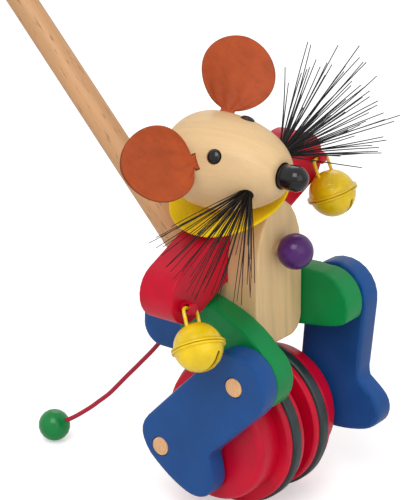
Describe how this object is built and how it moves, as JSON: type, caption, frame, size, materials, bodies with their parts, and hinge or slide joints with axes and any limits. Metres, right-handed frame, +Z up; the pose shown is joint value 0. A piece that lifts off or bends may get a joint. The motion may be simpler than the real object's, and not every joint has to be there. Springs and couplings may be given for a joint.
{
  "type": "toddler push toy",
  "caption": "Wooden mouse on two wheels with jointed walking legs, rocking arms with jingle bells and a long push stick for a toddler.",
  "frame": {"origin": "on the axis of the push stick, 60 mm below its upper end, where the hand holds it", "axes": "+Z up, the mouse walks towards -Y, its own left is +X"},
  "size_m": [0.1692, 0.4591, 0.5018],
  "materials": {
    "pale_wood": "clear-lacquered pale hardwood",
    "beech": "smooth beech dowel",
    "red_paint": "satin red paint on wood",
    "blue_paint": "satin blue paint on wood",
    "green_paint": "satin green paint on wood",
    "purple_paint": "satin purple paint on wood",
    "black_gloss": "gloss black paint on wood",
    "yellow_metal": "gloss yellow enamel on sheet metal",
    "yellow_felt": "thick felt",
    "rubber": "matt black rubber",
    "leather": "tan leather",
    "bristle": "stiff dark bristle",
    "cord": "waxed red cord"
  },
  "bodies": {
    "base": {"torso": "pale_wood", "axle_hanger": "beech", "rump": "blue_paint", "push_stick": "beech", "hip_pin": "beech", "rocker_pin": "beech", "belly_pin": "beech", "belly_ball": "purple_paint", "tail_cord": "cord", "tail_bead": "green_paint"},
    "wheels": {"axle": "beech", "wheel_right": "red_paint", "wheel_left": "red_paint", "tyre_right": "rubber", "tyre_left": "rubber", "crank_pin_right": "beech", "crank_pin_left": "beech"},
    "rocker": {"arm_beam": "red_paint", "neck_post": "beech", "collar": "yellow_felt", "head": "pale_wood", "nose": "black_gloss", "eye_right": "black_gloss", "eye_left": "black_gloss", "ear_right": "leather", "ear_left": "leather", "whiskers_right": "bristle", "whiskers_left": "bristle"},
    "thigh_right": {"thigh_right": "green_paint", "knee_pin_right": "beech"},
    "leg_right": {"leg_right": "blue_paint", "foot_pin_right": "beech"},
    "peg_right": {"bell_peg_right": "red_paint"},
    "bell_right": {"bell_loop_right": "yellow_metal", "bell_upper_right": "yellow_metal", "bell_lower_right": "yellow_metal", "bell_pellet_right": "yellow_metal"},
    "thigh_left": {"thigh_left": "green_paint", "knee_pin_left": "beech"},
    "leg_left": {"leg_left": "blue_paint", "foot_pin_left": "beech"},
    "peg_left": {"bell_peg_left": "red_paint"},
    "bell_left": {"bell_loop_left": "yellow_metal", "bell_upper_left": "yellow_metal", "bell_lower_left": "yellow_metal", "bell_pellet_left": "yellow_metal"}
  },
  "joints": [
    {"name": "wheel_spin", "type": "hinge", "parent": "base", "child": "wheels", "pos_m": [0, -0.34618, -0.41484], "axis": [1, 0, 0], "continuous": true},
    {"name": "hip_right", "type": "hinge", "parent": "base", "child": "thigh_right", "pos_m": [-0.0275, -0.34037, -0.35463], "axis": [-1, 0, 0], "range_deg": [0, 39.63]},
    {"name": "hip_left", "type": "hinge", "parent": "base", "child": "thigh_left", "pos_m": [0.0275, -0.34037, -0.35463], "axis": [1, 0, 0], "range_deg": [0, 39.63]},
    {"name": "rock", "type": "hinge", "parent": "base", "child": "rocker", "pos_m": [0, -0.33648, -0.30784], "axis": [0, 1, 0], "range_deg": [0, 48]},
    {"name": "knee_right", "type": "hinge", "parent": "thigh_right", "child": "leg_right", "pos_m": [-0.042, -0.37172, -0.37284], "axis": [1, 0, 0], "range_deg": [-31, 45]},
    {"name": "knee_left", "type": "hinge", "parent": "thigh_left", "child": "leg_left", "pos_m": [0.042, -0.37613, -0.34866], "axis": [1, 0, 0], "range_deg": [-29.5, 46.5]},
    {"name": "peg_turn_right", "type": "hinge", "parent": "rocker", "child": "peg_right", "pos_m": [-0.05585, -0.33648, -0.33237], "axis": [0, 1, 0], "range_deg": [-64.3, 0]},
    {"name": "peg_turn_left", "type": "hinge", "parent": "rocker", "child": "peg_left", "pos_m": [0.0556, -0.33648, -0.28275], "axis": [0, 1, 0], "range_deg": [-64.3, 0]},
    {"name": "bell_swing_right", "type": "hinge", "parent": "peg_right", "child": "bell_right", "pos_m": [-0.05585, -0.35078, -0.33237], "axis": [-0.9265, 0, 0.3762], "range_deg": [0, 50]},
    {"name": "bell_swing_left", "type": "hinge", "parent": "peg_left", "child": "bell_left", "pos_m": [0.0556, -0.35078, -0.28275], "axis": [-0.9949, 0, -0.1011], "range_deg": [0, 50]}
  ],
  "couplings": [
    {"joint": "hip_left", "follows": "hip_right", "ratio": 1},
    {"joint": "rock", "follows": "hip_right", "ratio": 1.2112},
    {"joint": "peg_turn_right", "follows": "hip_right", "ratio": -1.6225},
    {"joint": "peg_turn_left", "follows": "hip_right", "ratio": -1.6225}
  ]
}
